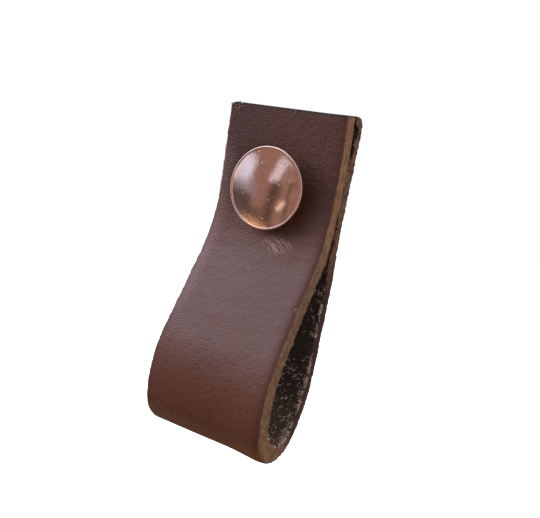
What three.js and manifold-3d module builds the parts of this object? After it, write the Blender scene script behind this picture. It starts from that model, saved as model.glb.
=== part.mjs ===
// Leather strap pull: one strap folded into a finger loop, its two cut ends held by a copper head.
//
// Millimetres. +X to the right as seen from the room, +Y into the door, +Z up. The flat back of the
// strap lies on y = 0, and the origin is on that back face, a little below the head.

import * as THREE from 'three';
import { mergeVertices } from 'three/addons/utils/BufferGeometryUtils.js';
import Module from 'manifold-3d';

// Leather
const STRAP_WIDTH = 25.4;
const LEATHER = 3.2; // thickness where nothing presses on it
const PARTING = 0.3; // least gap between the two layers
const GRAIN_ROUND = 0.6; // rounded edge along the grain side
const FLESH_ROUND = 0.25; // small round along the flesh side
const END_ROUND = 1.4; // round of the grain corner at the back layer's cut end

// Side profile of the strap
const STRAP_HEIGHT = 64.1; // from the cut end of the back layer to the bottom of the fold
const POST_HEIGHT = 10; // centre of the head above the origin, on the front face
const END_ABOVE_POST = 14.7; // cut end of the front layer above the centre of the head
const BACK_END_RISE = 0.8; // the back layer is cut this much longer than the front one
const GRIP = 5.9; // over both layers at the head, where they are pressed
const END_SPLAY = 0.1; // extra gap between the layers at the cut ends
const OUT_BEND = 29; // radius of the grain face where the front layer bends out under the head
const OUT_LEAN = 27; // degrees that the front layer leans out below that bend
const BELLY_INSIDE = 18.3; // inner radius over the belly of the loop
const BELLY_LEAN = -9; // degrees of lean where the belly turns into the fold
const FOLD_INSIDE = 4.5; // inner radius of the fold
const FOLD_LEAN = -144; // degrees of lean where the fold ends, behind and below
const HEEL_INSIDE = 19.8; // inner radius where the back layer comes up to the door
const BEND_STEP = 6; // degrees between the points of a bend
const STRAIGHT_STEP = 2.5; // between the points of the straights beside the head

// Copper head and post
const HEAD_DIAMETER = 15.5;
const HEAD_STAND = 3.4; // rim of the head in front of the leather
const HEAD_CROWN = 0.7; // height of the slight dome over its rim
const RIM_WIDTH = 0.4; // turned edge round the face
const RIM_LIFT = 0.12; // how far that edge stands up from the face
const RIM_DEPTH = 0.7; // thickness of the head at its edge
const COLLAR_DIAMETER = 9.6;
const COLLAR_LENGTH = 1; // straight part of the collar below the cone of the head
const BARREL_DIAMETER = 5.6;

// Back screw
const THREAD_BORE = 4; // bore of the barrel
const SCREW_HEAD_DIAMETER = 9.2;
const SCREW_HEAD_DEPTH = 0.9;
const SCREW_SINK = 0.3; // its highest edge lies this far inside the back of the leather
const SHANK_LENGTH = 3;
const BORE_ROOM = 1.2; // free bore beyond the end of the screw
const SCREW_CHAMFER = 0.2;
const SLOT_WIDTH = 1.1;
const SLOT_DEPTH = 0.45;

const SEATING = 0.3; // clearance round every metal face that meets leather or metal

// Fineness of the round faces
const ROUND_STEPS = 4;
const FACE_STEPS = 6;
const RIM_STEPS = 5;
const TURNED_SIDES = 64;

const wasm = await Module();
wasm.setup();

const radians = THREE.MathUtils.degToRad;

// Solids for cutting

function toSolid(geometry) {
  const bare = geometry.clone();
  bare.deleteAttribute('normal');
  bare.deleteAttribute('uv');
  const merged = mergeVertices(bare, 1e-5);
  const mesh = new wasm.Mesh({
    numProp: 3,
    vertProperties: new Float32Array(merged.attributes.position.array),
    triVerts: new Uint32Array(merged.index.array),
  });
  return new wasm.Manifold(mesh);
}

function toGeometry(solid) {
  const mesh = solid.getMesh();
  const geometry = new THREE.BufferGeometry();
  geometry.setAttribute('position', new THREE.BufferAttribute(mesh.vertProperties, 3));
  geometry.setIndex(new THREE.BufferAttribute(mesh.triVerts, 1));
  geometry.computeVertexNormals();
  return geometry;
}

// Side profile: points (y, z) of the grain face, each with the lean of the leather there.
// A lean of 0 runs straight down, a positive one down and away from the door.

function along(lean) {
  return new THREE.Vector2(-Math.sin(lean), -Math.cos(lean));
}

function outward(lean) {
  return new THREE.Vector2(-Math.cos(lean), Math.sin(lean));
}

function bendShift(radius, from, to) {
  const turn = to > from ? 1 : -1;
  return outward(from).sub(outward(to)).multiplyScalar(turn * radius);
}

function addStraight(path, lean, length) {
  const start = path[path.length - 1].point;
  const steps = Math.max(1, Math.ceil(length / STRAIGHT_STEP));
  for (let i = 1; i <= steps; i += 1) {
    path.push({ point: start.clone().addScaledVector(along(lean), (length * i) / steps), lean });
  }
}

function addBend(path, radius, from, to) {
  const start = path[path.length - 1].point;
  const steps = Math.ceil(Math.abs(to - from) / radians(BEND_STEP));
  for (let i = 1; i <= steps; i += 1) {
    const lean = from + ((to - from) * i) / steps;
    path.push({ point: start.clone().add(bendShift(radius, from, lean)), lean });
  }
}

const backTop = POST_HEIGHT + END_ABOVE_POST + BACK_END_RISE;
const endDepth = 2 * LEATHER + PARTING + END_SPLAY;
const tabLean = -Math.atan((endDepth - GRIP) / END_ABOVE_POST);
const outLean = radians(OUT_LEAN);
const bellyLean = radians(BELLY_LEAN);
const bottomLean = -Math.PI / 2;
const foldLean = radians(FOLD_LEAN);
const backLean = -Math.PI;
const endLean = -1.5 * Math.PI;
const bellyBend = BELLY_INSIDE + LEATHER;
const foldBend = FOLD_INSIDE + LEATHER;
const heelBend = HEEL_INSIDE + LEATHER;
const postFoot = new THREE.Vector2(-GRIP, POST_HEIGHT);

// The front layer has a straight above its first bend and one below it. They are as long as it
// takes for the strap to come back to the plane of the door with its fold at the right height.
function frontStraights() {
  const outBend = bendShift(OUT_BEND, tabLean, outLean);
  const belly = bendShift(bellyBend, outLean, bellyLean);
  const fold = bendShift(foldBend, bellyLean, foldLean);
  const heel = bendShift(heelBend, foldLean, backLean);
  const halfFold = bendShift(foldBend, bellyLean, bottomLean);
  const out = outBend.x + belly.x + fold.x + heel.x - GRIP;
  const postToBottom = STRAP_HEIGHT - BACK_END_RISE - END_ABOVE_POST;
  const down = postToBottom + outBend.y + belly.y + halfFold.y;
  const turn = Math.sin(outLean - tabLean);
  return {
    belowPost: (down * Math.sin(outLean) - out * Math.cos(outLean)) / turn,
    belowBend: (out * Math.cos(tabLean) - down * Math.sin(tabLean)) / turn,
  };
}

function makeGrainPath() {
  const { belowPost, belowBend } = frontStraights();
  const abovePost = END_ABOVE_POST / Math.cos(tabLean);
  const path = [{ point: postFoot.clone().addScaledVector(along(tabLean), -abovePost), lean: tabLean }];
  addStraight(path, tabLean, abovePost + belowPost);
  addBend(path, OUT_BEND, tabLean, outLean);
  addStraight(path, outLean, belowBend);
  addBend(path, bellyBend, outLean, bellyLean);
  addBend(path, foldBend, bellyLean, foldLean);
  addBend(path, heelBend, foldLean, backLean);
  addStraight(path, backLean, backTop - END_ROUND - path[path.length - 1].point.y);
  return path;
}

const grainPath = makeGrainPath();

// Depth of the front grain face before the door at a height, above the belly of the loop.
function depthAt(height) {
  const below = grainPath.findIndex(({ point }) => point.y <= height);
  if (below <= 0) return -grainPath[0].point.x;
  const high = grainPath[below - 1].point;
  const low = grainPath[below].point;
  const share = (high.y - height) / (high.y - low.y);
  return -THREE.MathUtils.lerp(high.x, low.x, share);
}

// The flesh face lies one thickness inside the grain face. Where the two layers are pressed
// together, each takes half of the room that is left between the grain faces.
function fleshPoint({ point, lean }) {
  const flesh = point.clone().addScaledVector(outward(lean), -LEATHER);
  if (lean === backLean) {
    flesh.x = Math.max(flesh.x, (PARTING - depthAt(point.y)) / 2);
  } else if (lean > 0 || lean === tabLean) {
    flesh.x = Math.min(flesh.x, -(PARTING + depthAt(flesh.y)) / 2);
  }
  return flesh;
}

// How far a face is drawn in at a distance from the long edge that is rounded.
function roundDraw(radius, fromEdge) {
  const into = Math.max(0, radius - fromEdge);
  return radius - Math.sqrt(radius * radius - into * into);
}

// Outline of the leather at one place across its width: down and round the grain face,
// over the rounded end of the back layer, and back along the flesh face.
function outlineAt(fromEdge) {
  const grain = [...grainPath];
  addBend(grain, END_ROUND, backLean, endLean);
  const flesh = [...grainPath, { point: new THREE.Vector2(0, backTop), lean: backLean }];
  const grainDraw = roundDraw(GRAIN_ROUND, fromEdge);
  const fleshDraw = roundDraw(FLESH_ROUND, fromEdge);
  const outer = grain.map(({ point, lean }) => point.clone().addScaledVector(outward(lean), -grainDraw));
  const inner = flesh.map((place) => fleshPoint(place).addScaledVector(outward(place.lean), fleshDraw));
  return [...outer, ...inner.reverse()];
}

// Closed body through outlines with the same number of points, each at its own x.
function loft(outlines) {
  const count = outlines[0].outline.length;
  const positions = [];
  const faces = [];
  for (const { x, outline } of outlines) {
    for (const { x: y, y: z } of outline) positions.push(x, y, z);
  }
  for (let j = 0; j < outlines.length - 1; j += 1) {
    for (let i = 0; i < count; i += 1) {
      const a = j * count + i;
      const b = j * count + ((i + 1) % count);
      faces.push(a, b, b + count, a, b + count, a + count);
    }
  }
  const last = (outlines.length - 1) * count;
  for (const [a, b, c] of THREE.ShapeUtils.triangulateShape(outlines[0].outline, [])) {
    faces.push(c, b, a, last + a, last + b, last + c);
  }
  const geometry = new THREE.BufferGeometry();
  geometry.setAttribute('position', new THREE.Float32BufferAttribute(positions, 3));
  geometry.setIndex(faces);
  return geometry;
}

function makeFoldedLeather() {
  const fromEdges = [];
  for (let i = 0; i <= ROUND_STEPS; i += 1) {
    fromEdges.push(GRAIN_ROUND * (1 - Math.cos((i / ROUND_STEPS) * (Math.PI / 2))));
  }
  const half = STRAP_WIDTH / 2;
  const left = fromEdges.map((fromEdge) => ({ x: fromEdge - half, outline: outlineAt(fromEdge) }));
  const right = left.map(({ x, outline }) => ({ x: -x, outline })).reverse();
  return loft([...left, ...right]);
}

// The post stands square on the front layer. Its pieces are turned about a local y axis that
// points out of the leather, with 0 on the grain face of the front layer.

const postPlace = new THREE.Vector3(0, postFoot.x, postFoot.y);
const postOutward = new THREE.Vector3(0, outward(tabLean).x, outward(tabLean).y);
const postTurn = new THREE.Quaternion().setFromUnitVectors(new THREE.Vector3(0, 1, 0), postOutward);

const screwEdgeDrop = (SCREW_HEAD_DIAMETER / 2) * Math.abs(Math.sin(tabLean));
const screwFace = -(GRIP - SCREW_SINK - screwEdgeDrop) / Math.cos(tabLean);
const screwSeat = screwFace + SCREW_HEAD_DEPTH;
const barrelEnd = screwSeat + SEATING;
const boreBottom = screwSeat + SHANK_LENGTH + BORE_ROOM;
const leatherBack = -2 * GRIP;

function cutter(diameter, from, to) {
  const radius = diameter / 2 + SEATING;
  const cylinder = new THREE.CylinderGeometry(radius, radius, to - from, TURNED_SIDES);
  cylinder.translate(0, (from + to) / 2, 0);
  cylinder.applyQuaternion(postTurn);
  cylinder.translate(postPlace.x, postPlace.y, postPlace.z);
  return toSolid(cylinder);
}

function makeStrap() {
  const collarSeat = cutter(COLLAR_DIAMETER, 0, HEAD_STAND);
  const postHole = cutter(BARREL_DIAMETER, leatherBack, HEAD_STAND);
  const screwRecess = cutter(SCREW_HEAD_DIAMETER, leatherBack, screwSeat + SEATING);
  const leather = toSolid(makeFoldedLeather());
  return toGeometry(leather.subtract(collarSeat).subtract(postHole).subtract(screwRecess));
}

function turned(profile) {
  const points = profile.map(([radius, height]) => new THREE.Vector2(radius, height));
  return new THREE.LatheGeometry(points, TURNED_SIDES);
}

// Domed face from the axis out to the turned rim.
function facePoints(radius) {
  const dome = (radius * radius + HEAD_CROWN * HEAD_CROWN) / (2 * HEAD_CROWN);
  const points = [];
  for (let i = 0; i <= FACE_STEPS; i += 1) {
    const r = (radius * i) / FACE_STEPS;
    points.push([r, HEAD_STAND + HEAD_CROWN - dome + Math.sqrt(dome * dome - r * r)]);
  }
  return points;
}

function rimPoints(radius) {
  const points = [];
  for (let i = 1; i <= RIM_STEPS; i += 1) {
    const turn = Math.PI * (1 - i / RIM_STEPS);
    const middle = radius - RIM_WIDTH / 2;
    points.push([middle + (RIM_WIDTH / 2) * Math.cos(turn), HEAD_STAND + RIM_LIFT * Math.sin(turn)]);
  }
  return points;
}

function makeHeadPost() {
  const radius = HEAD_DIAMETER / 2;
  const collar = COLLAR_DIAMETER / 2;
  const barrel = BARREL_DIAMETER / 2;
  const bore = THREAD_BORE / 2;
  const profile = [
    ...facePoints(radius - RIM_WIDTH),
    ...rimPoints(radius),
    [radius, HEAD_STAND - RIM_DEPTH],
    [collar, SEATING + COLLAR_LENGTH],
    [collar, SEATING],
    [barrel, SEATING],
    [barrel, barrelEnd],
    [bore, barrelEnd],
    [bore, boreBottom],
    [0, boreBottom],
  ];
  return turned(profile.reverse());
}

function makeBackScrew() {
  const radius = SCREW_HEAD_DIAMETER / 2;
  const shank = THREAD_BORE / 2 - SEATING;
  const body = turned([
    [0, screwFace],
    [radius - SCREW_CHAMFER, screwFace],
    [radius, screwFace + SCREW_CHAMFER],
    [radius, screwSeat],
    [shank, screwSeat],
    [shank, screwSeat + SHANK_LENGTH],
    [0, screwSeat + SHANK_LENGTH],
  ]);
  const slot = new THREE.BoxGeometry(SCREW_HEAD_DIAMETER * 2, SLOT_DEPTH * 2, SLOT_WIDTH);
  slot.translate(0, screwFace, 0);
  return toGeometry(toSolid(body).subtract(toSolid(slot)));
}

// Pieces

const leatherFinish = new THREE.MeshStandardMaterial({ color: 0x5a3c37, roughness: 0.6, metalness: 0 });
const copperFinish = new THREE.MeshStandardMaterial({ color: 0xc07a5e, roughness: 0.18, metalness: 1 });

const pull = new THREE.Group();

const strap = new THREE.Mesh(makeStrap(), leatherFinish);
strap.name = 'strap';
pull.add(strap);

const fastener = new THREE.Group();
fastener.position.copy(postPlace);
fastener.quaternion.copy(postTurn);
pull.add(fastener);

const headPost = new THREE.Mesh(makeHeadPost(), copperFinish);
headPost.name = 'head_post';
fastener.add(headPost);

const backScrew = new THREE.Mesh(makeBackScrew(), copperFinish.clone());
backScrew.name = 'back_screw';
fastener.add(backScrew);

export default pull;
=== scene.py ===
from math import atan, ceil, cos, pi, radians, sin, sqrt, tan

import bmesh
import bpy
import numpy as np
from mathutils import Matrix, Vector
from mathutils.kdtree import KDTree


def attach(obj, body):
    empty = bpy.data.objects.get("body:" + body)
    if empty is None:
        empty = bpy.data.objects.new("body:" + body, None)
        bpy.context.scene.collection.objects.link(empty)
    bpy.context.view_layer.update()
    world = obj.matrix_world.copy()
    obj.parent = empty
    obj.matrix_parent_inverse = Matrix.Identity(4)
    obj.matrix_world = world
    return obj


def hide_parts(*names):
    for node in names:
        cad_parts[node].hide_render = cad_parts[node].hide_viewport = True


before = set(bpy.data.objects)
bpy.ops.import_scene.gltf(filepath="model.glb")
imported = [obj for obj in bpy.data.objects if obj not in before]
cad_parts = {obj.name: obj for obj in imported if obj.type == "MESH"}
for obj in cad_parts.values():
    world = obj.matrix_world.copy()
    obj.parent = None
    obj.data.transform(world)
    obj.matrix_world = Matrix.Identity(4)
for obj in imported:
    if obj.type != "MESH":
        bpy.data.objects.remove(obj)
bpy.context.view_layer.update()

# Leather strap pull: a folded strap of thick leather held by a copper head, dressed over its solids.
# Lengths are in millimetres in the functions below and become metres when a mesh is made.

MM = 0.001
scene = bpy.context.scene

# The strap, with the sizes of its solid. Only FLESH_ROUND is smaller, because that edge is ragged.
STRAP_WIDTH = 25.4
LEATHER = 3.2
PARTING = 0.3
GRAIN_ROUND = 0.6
FLESH_ROUND = 0.1
END_ROUND = 1.4
STRAP_HEIGHT = 64.1
POST_HEIGHT = 10
END_ABOVE_POST = 14.7
BACK_END_RISE = 0.8
GRIP = 5.9
END_SPLAY = 0.1
OUT_BEND = 29
OUT_LEAN = radians(27)
BELLY_BEND = 18.3 + LEATHER
BELLY_LEAN = radians(-9)
FOLD_BEND = 4.5 + LEATHER
FOLD_LEAN = radians(-144)
HEEL_BEND = 19.8 + LEATHER
BACK_LEAN = -pi
TAB_LEAN = -atan((2 * LEATHER + PARTING + END_SPLAY - GRIP) / END_ABOVE_POST)
BACK_TOP = POST_HEIGHT + END_ABOVE_POST + BACK_END_RISE

# The head, post and screw
HEAD_DIAMETER = 15.5
HEAD_STAND = 3.4
HEAD_CROWN = 0.7
RIM_WIDTH = 0.4
RIM_LIFT = 0.12
RIM_DEPTH = 0.7
COLLAR_DIAMETER = 9.6
COLLAR_LENGTH = 1
BARREL_DIAMETER = 5.6
THREAD_BORE = 4
SCREW_HEAD_DIAMETER = 9.2
SCREW_HEAD_DEPTH = 0.9
SCREW_SINK = 0.3
SHANK_LENGTH = 3
BORE_ROOM = 1.2
SCREW_CHAMFER = 0.2
SLOT_WIDTH = 1.1
SLOT_DEPTH = 0.45
SEATING = 0.3
RIM_BREAK = 0.12
FACE_ROWS, RIM_ROWS, CONE_ROWS = 60, 12, 9
HEAD_SIDES, SCREW_SIDES, HOLE_SIDES = 192, 128, 96

# Wear of the strap: depths, places and reaches
TORN_WAVE = 0.35
TORN_FLOOR = 0.6  # share of a tear's reach that has its full depth
ROUGH_FLESH, ROUGH_LOOP = 0.05, 0.2
PRESSED_DEPTH, PRESSED_RING, PRESSED_REACH = 0.28, 4.5, 6.5
RIPPLE_DEPTH, RIPPLE_HEIGHT, RIPPLE_REACH = 0.02, 3, 14
SAG_DEPTH, SAG_DOWN, SAG_REACH = 0.4, 67, 8
FALL_DEPTH, FALL_WIDTH, FALL_SHAPE, FALL_END = 0.3, 2.0, 1.6, (66, 80)
PUFF_SHARE, PUFF_HEIGHT = 0.5, 9
LAYERS_APART = 0.05  # between the two layers above the loop, where the soft sides have swollen

# Unevenness of the leather, as layers of noise (height, size of the lumps, seed)
FLESH_LUMPS = [(0.5, 1.9, 7), (0.32, 0.8, 8), (0.22, 0.42, 9)]
GRAIN_WAVES = [(0.05, 7.5, 10), (0.025, 3.2, 11)]
EDGE_DRIFT = [(0.05, 9, 13), (0.03, 1.3, 14)]
EDGE_TEETH = [(0.08, 0.55, 15), (0.06, 0.33, 16)]
TABLE_SIZE = 64  # values along each side of the lattice that the noise reads

rng = np.random.default_rng(41)


# Noise on a lattice of random values

def lattice_noise(places, size, seed):
    """Smooth noise from -1 to 1 at places (n, 3), with lumps about one size across."""
    values = np.random.default_rng(seed).uniform(-1, 1, (TABLE_SIZE,) * 3)
    scaled = places / size
    cell = np.floor(scaled).astype(int)
    part = scaled - cell
    part = part * part * (3 - 2 * part)
    total = np.zeros(len(places))
    for corner in np.ndindex(2, 2, 2):
        weight = np.prod(np.abs(np.subtract(1, corner) - part), axis=1)
        total += weight * values[tuple(((cell + corner) % TABLE_SIZE).T)]
    return total


def smooth(low, high, value):
    part = np.clip((value - low) / (high - low), 0, 1)
    return part * part * (3 - 2 * part)


def bump_at(value, centre, reach, flat_part=0):
    """One round the centre, falling smoothly to nothing at the reach on both sides."""
    return 1 - smooth(flat_part, 1, np.abs(value - centre) / reach)


def unit(vectors):
    return vectors / (np.linalg.norm(vectors, axis=-1, keepdims=True) + 1e-9)


# Side profile of the strap

def along(lean):
    return np.stack([-np.sin(lean), -np.cos(lean)], axis=-1)


def outward(lean):
    return np.stack([-np.cos(lean), np.sin(lean)], axis=-1)


def bend_shift(radius, start, end):
    turn = 1 if np.max(end - start) > 0 else -1
    return (outward(start) - outward(end)) * turn * radius


def front_straights():
    bottom = -pi / 2
    out_bend = bend_shift(OUT_BEND, TAB_LEAN, OUT_LEAN)
    belly = bend_shift(BELLY_BEND, OUT_LEAN, BELLY_LEAN)
    fold = bend_shift(FOLD_BEND, BELLY_LEAN, FOLD_LEAN)
    heel = bend_shift(HEEL_BEND, FOLD_LEAN, BACK_LEAN)
    half_fold = bend_shift(FOLD_BEND, BELLY_LEAN, bottom)
    out = out_bend[0] + belly[0] + fold[0] + heel[0] - GRIP
    down = STRAP_HEIGHT - BACK_END_RISE - END_ABOVE_POST + out_bend[1] + belly[1] + half_fold[1]
    turn = sin(OUT_LEAN - TAB_LEAN)
    below_post = (down * sin(OUT_LEAN) - out * cos(OUT_LEAN)) / turn
    below_bend = (out * cos(TAB_LEAN) - down * sin(TAB_LEAN)) / turn
    return below_post, below_bend


STATION = 0.3  # length of leather between two stations


def grain_stations():
    """Points (y, z) down the front and up the back, with the lean and the length of leather so far."""
    below_post, below_bend = front_straights()
    above_post = END_ABOVE_POST / cos(TAB_LEAN)
    foot = np.array([-GRIP, POST_HEIGHT])
    points = [foot - along(TAB_LEAN) * above_post]
    leans = [TAB_LEAN]
    lengths = [0.0]

    def straight(length, step=STATION):
        start, lean, so_far = points[-1], leans[-1], lengths[-1]
        steps = ceil(length / step)
        for i in range(1, steps + 1):
            points.append(start + along(lean) * length * i / steps)
            leans.append(lean)
            lengths.append(so_far + length * i / steps)

    def bend(radius, end):
        start, lean, so_far = points[-1], leans[-1], lengths[-1]
        length = radius * abs(end - lean)
        steps = ceil(length / STATION)
        for i in range(1, steps + 1):
            here = lean + (end - lean) * i / steps
            points.append(start + bend_shift(radius, lean, here))
            leans.append(here)
            lengths.append(so_far + length * i / steps)

    straight(above_post + below_post)
    bend(OUT_BEND, OUT_LEAN)
    straight(below_bend)
    bend(BELLY_BEND, BELLY_LEAN)
    bend(FOLD_BEND, FOLD_LEAN)
    bend(HEEL_BEND, BACK_LEAN)
    straight(BACK_TOP - END_ROUND - points[-1][1])
    straight(END_ROUND, END_ROUND / 10)
    return np.array(points), np.array(leans), np.array(lengths)


stations, leans, lengths = grain_stations()
is_back = np.isclose(leans, BACK_LEAN)
is_front = (np.arange(len(leans)) < np.argmin(stations[:, 1])) & (leans > BELLY_LEAN)
front_heights = stations[is_front][::-1]


def depth_at(height):
    return -np.interp(height, front_heights[:, 1], front_heights[:, 0])


def puff_at(height):
    """How far the soft side of each layer swells into the narrow start of the loop."""
    lean = np.interp(height, front_heights[:, 1], leans[is_front][::-1])
    gap = depth_at(height) - LEATHER - LEATHER / np.cos(lean)
    swell = PUFF_SHARE * np.clip(gap - 0.08, 0, 2) * (1 - smooth(0.9, 2, gap))
    return swell * (np.abs(height) < PUFF_HEIGHT)


# Ring of points round the leather at one station. Each has its place across the width, and its depth
# as a fixed part plus a share of the thickness there.
FACE_COLUMNS = 58
ROUND_ROWS = 6
CUT_ROWS = 10
FLESH_ROWS = 2


def quarter_turn(steps):
    """Sines and cosines along a quarter turn, without its start."""
    turns = [pi / 2 * i / steps for i in range(1, steps + 1)]
    return [(sin(turn), cos(turn)) for turn in turns]


def ring_points():
    half = STRAP_WIDTH / 2
    rows = [(x, 0, 0) for x in np.linspace(-(half - GRAIN_ROUND), half - GRAIN_ROUND, FACE_COLUMNS)]
    for rise, run in quarter_turn(ROUND_ROWS):
        rows.append((half - GRAIN_ROUND * (1 - rise), GRAIN_ROUND * (1 - run), 0))
    for i in range(1, CUT_ROWS + 1):
        share = i / CUT_ROWS
        rows.append((half, GRAIN_ROUND * (1 - share) - FLESH_ROUND * share, share))
    for rise, run in quarter_turn(FLESH_ROWS):
        rows.append((half - FLESH_ROUND * (1 - run), -FLESH_ROUND * (1 - rise), 1))
    rows += [(x, 0, 1) for x in np.linspace(half - FLESH_ROUND, 0, FACE_COLUMNS // 2 + 1)[1:]]
    right = np.array(rows[FACE_COLUMNS // 2:])
    left = right[::-1].copy()
    left[:, 0] *= -1
    return np.concatenate([right, left[1:]])


ring = ring_points()
ring_x, ring_fixed, ring_share = ring.T
half_width = STRAP_WIDTH / 2

# Small departures of the right cut edge from straight, as (length of leather from the front end, drift)
RIGHT_EDGE = [(0, 0.0), (3, 0.1), (9, 0.25), (17, 0.0), (27, -0.15), (36, -0.25), (50, 0.1), (60, 0.2),
              (70, 0.45), (78, 0.22), (88, 0.1), (98, 0.2), (108, 0.3), (118, 0.1), (128, 0.15), (134, 0.35),
              (140, 0.25)]

# Places where the soft side of the back layer is torn at its edges, as (height, reach, depth)
TORN_RIGHT = [(22.6, 1.45, 1.5), (20.75, 0.35, 0.9), (18.9, 1.35, 1.1), (4.6, 0.55, 0.7), (1.6, 1.5, 0.4)]
TORN_LEFT = [(19.5, 2.6, 1.1), (11.5, 1.6, 0.7), (0.5, 2.0, 0.6)]

# The front layer's cut end is not quite square: how much longer it is in the middle, and its slant
END_LONGER = 0.43
END_SLANT = 0.19
CORNER_WEAR = 0.45


def make_strap_points():
    count, around = len(stations), len(ring)
    y0, z0 = stations.T
    flesh = stations - outward(leans) * LEATHER
    back_limit = (LAYERS_APART - depth_at(stations[:, 1])) / 2
    flesh[is_back, 0] = np.maximum(flesh[is_back, 0], back_limit[is_back])
    near = is_front & ((leans > 0) | np.isclose(leans, TAB_LEAN))
    front_limit = -(LAYERS_APART + depth_at(flesh[:, 1])) / 2
    flesh[near, 0] = np.minimum(flesh[near, 0], front_limit[near])
    inward = flesh - stations
    thick = np.linalg.norm(inward, axis=1)
    inward /= thick[:, None]
    thick = thick + puff_at(flesh[:, 1]) * (is_back | near)

    def each_round(values):
        return np.repeat(values[:, None], around, axis=1)

    x = np.tile(ring_x, (count, 1))
    length, height, thickness = each_round(lengths), each_round(z0), each_round(thick)
    share = np.tile(ring_share, (count, 1))
    flat = np.stack([x, length, share * LEATHER], axis=-1).reshape(-1, 3)

    def noise(size, seed, stretch=(1, 1, 1)):
        return lattice_noise(flat * np.array(stretch), size, seed).reshape(count, around)

    def noises(layers):
        return sum(deep * noise(size, seed) for deep, size, seed in layers)

    # Torn hollows in the soft side of the back layer, at the right edge near the cut ends
    back = is_back[:, None] * 1.0
    front = is_front[:, None] * 1.0
    to_right = smooth(half_width - 2.6, half_width - 0.4, x + 0.5 * noise(0.9, 3))
    to_left = smooth(half_width - 2.2, half_width - 0.4, -x + 0.5 * noise(0.9, 4))
    torn = np.zeros_like(x)
    for centre, reach, deep in TORN_RIGHT:
        place = height + TORN_WAVE * noise(0.6, 5)
        torn += deep * bump_at(place, centre, reach, TORN_FLOOR) * back * to_right
    for centre, reach, deep in TORN_LEFT:
        torn += deep * bump_at(height + 0.5 * noise(0.7, 6), centre, reach) * back * to_left
    thickness -= torn

    # Rough soft side, lumpier in the open loop
    open_loop = 1 - smooth(-6, 2, height) * (back + front).clip(0, 1)
    thickness += (ROUGH_FLESH + ROUGH_LOOP * open_loop) * (noises(FLESH_LUMPS) - 0.15)

    # Rounded grain corner at the end of the back layer
    over = np.clip(z0 - (BACK_TOP - END_ROUND), 0, END_ROUND) * is_back
    end_draw = each_round(END_ROUND - np.sqrt(END_ROUND ** 2 - over ** 2 + 1e-9))
    depth = ring_fixed + ring_share * (thickness - end_draw)
    on_grain = 1 - smooth(0.0, 0.3, share)

    # Slightly wavy grain face, pressed down round the head, with low ripples where it is bent inwards
    from_post = np.hypot(x, height - POST_HEIGHT)
    pressed = PRESSED_DEPTH * bump_at(from_post, PRESSED_RING, PRESSED_REACH) * front
    ripples = RIPPLE_DEPTH * noise(1.1, 12, (0.16, 1, 1)) * front
    ripples *= bump_at(height, RIPPLE_HEIGHT, RIPPLE_REACH)
    soft_edge = 0.5 + 0.5 * smooth(0, 4, half_width - np.abs(x))

    # On the right the fold sags, and the grain corner falls softly to the cut edge
    sag = SAG_DEPTH * smooth(5, half_width, x) * bump_at(length, SAG_DOWN, SAG_REACH)
    fall = FALL_DEPTH * np.clip((x - half_width) / FALL_WIDTH + 1, 0, 1) ** FALL_SHAPE
    fall *= 1 - smooth(*FALL_END, length)
    waves = noises(GRAIN_WAVES) * soft_edge * (1 - back * 0.8)
    uneven = on_grain * (pressed + ripples + fall - sag - waves)
    depth += uneven

    y = y0[:, None] + inward[:, None, 0] * (depth + end_draw)
    z = z0[:, None] + inward[:, None, 1] * (depth + end_draw)

    # Slanted cut end of the front layer, with a worn left corner
    to_end = smooth(19, POST_HEIGHT + END_ABOVE_POST, height) * front
    z = z + to_end * (END_LONGER - END_SLANT * x / half_width)
    corner = smooth(half_width - 1.6, half_width, -x) * smooth(22.6, 24.6, height) * front
    z = z - corner * CORNER_WEAR

    # Cut edges: slow drift from straight, and a fine unevenness
    near_edge = smooth(4, half_width, np.abs(x))
    side = np.sign(x)
    known_lengths, drifts = np.array(RIGHT_EDGE).T
    drift = np.interp(length, known_lengths, drifts) * (side > 0)
    drift = drift + noises(EDGE_DRIFT)
    teeth = smooth(half_width - 0.8, half_width, np.abs(x)) * noises(EDGE_TEETH)
    x = x + side * (near_edge * drift + teeth)
    places = np.stack([x, y, z], axis=-1)
    flat_place = np.stack([np.tile(ring_x, (count, 1)), length, depth + end_draw - uneven], axis=-1)
    share_of = np.clip(depth / np.maximum(thickness - end_draw, 0.1), 0, 1)
    return places, flat_place, share_of


def loft_faces(count, around):
    faces = []
    last = (count - 1) * around
    for a in range(0, last, around):
        for j in range(around):
            k = (j + 1) % around
            faces.append((a + j, a + k, a + around + k, a + around + j))
    return faces + [tuple(range(around))[::-1], tuple(range(last, last + around))]


def shade_smooth(mesh, angle):
    mesh.polygons.foreach_set("use_smooth", [True] * len(mesh.polygons))
    mesh.set_sharp_from_angle(angle=radians(angle))


def make_object(name, points, faces, smooth_angle=40):
    mesh = bpy.data.meshes.new(name)
    mesh.from_pydata((np.asarray(points).reshape(-1, 3) * MM).tolist(), [], faces)
    work = bmesh.new()
    work.from_mesh(mesh)
    bmesh.ops.recalc_face_normals(work, faces=work.faces)
    bmesh.ops.triangulate(work, faces=[f for f in work.faces if len(f.verts) > 4])
    work.to_mesh(mesh)
    work.free()
    shade_smooth(mesh, smooth_angle)
    thing = bpy.data.objects.new(name, mesh)
    scene.collection.objects.link(thing)
    return thing


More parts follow.
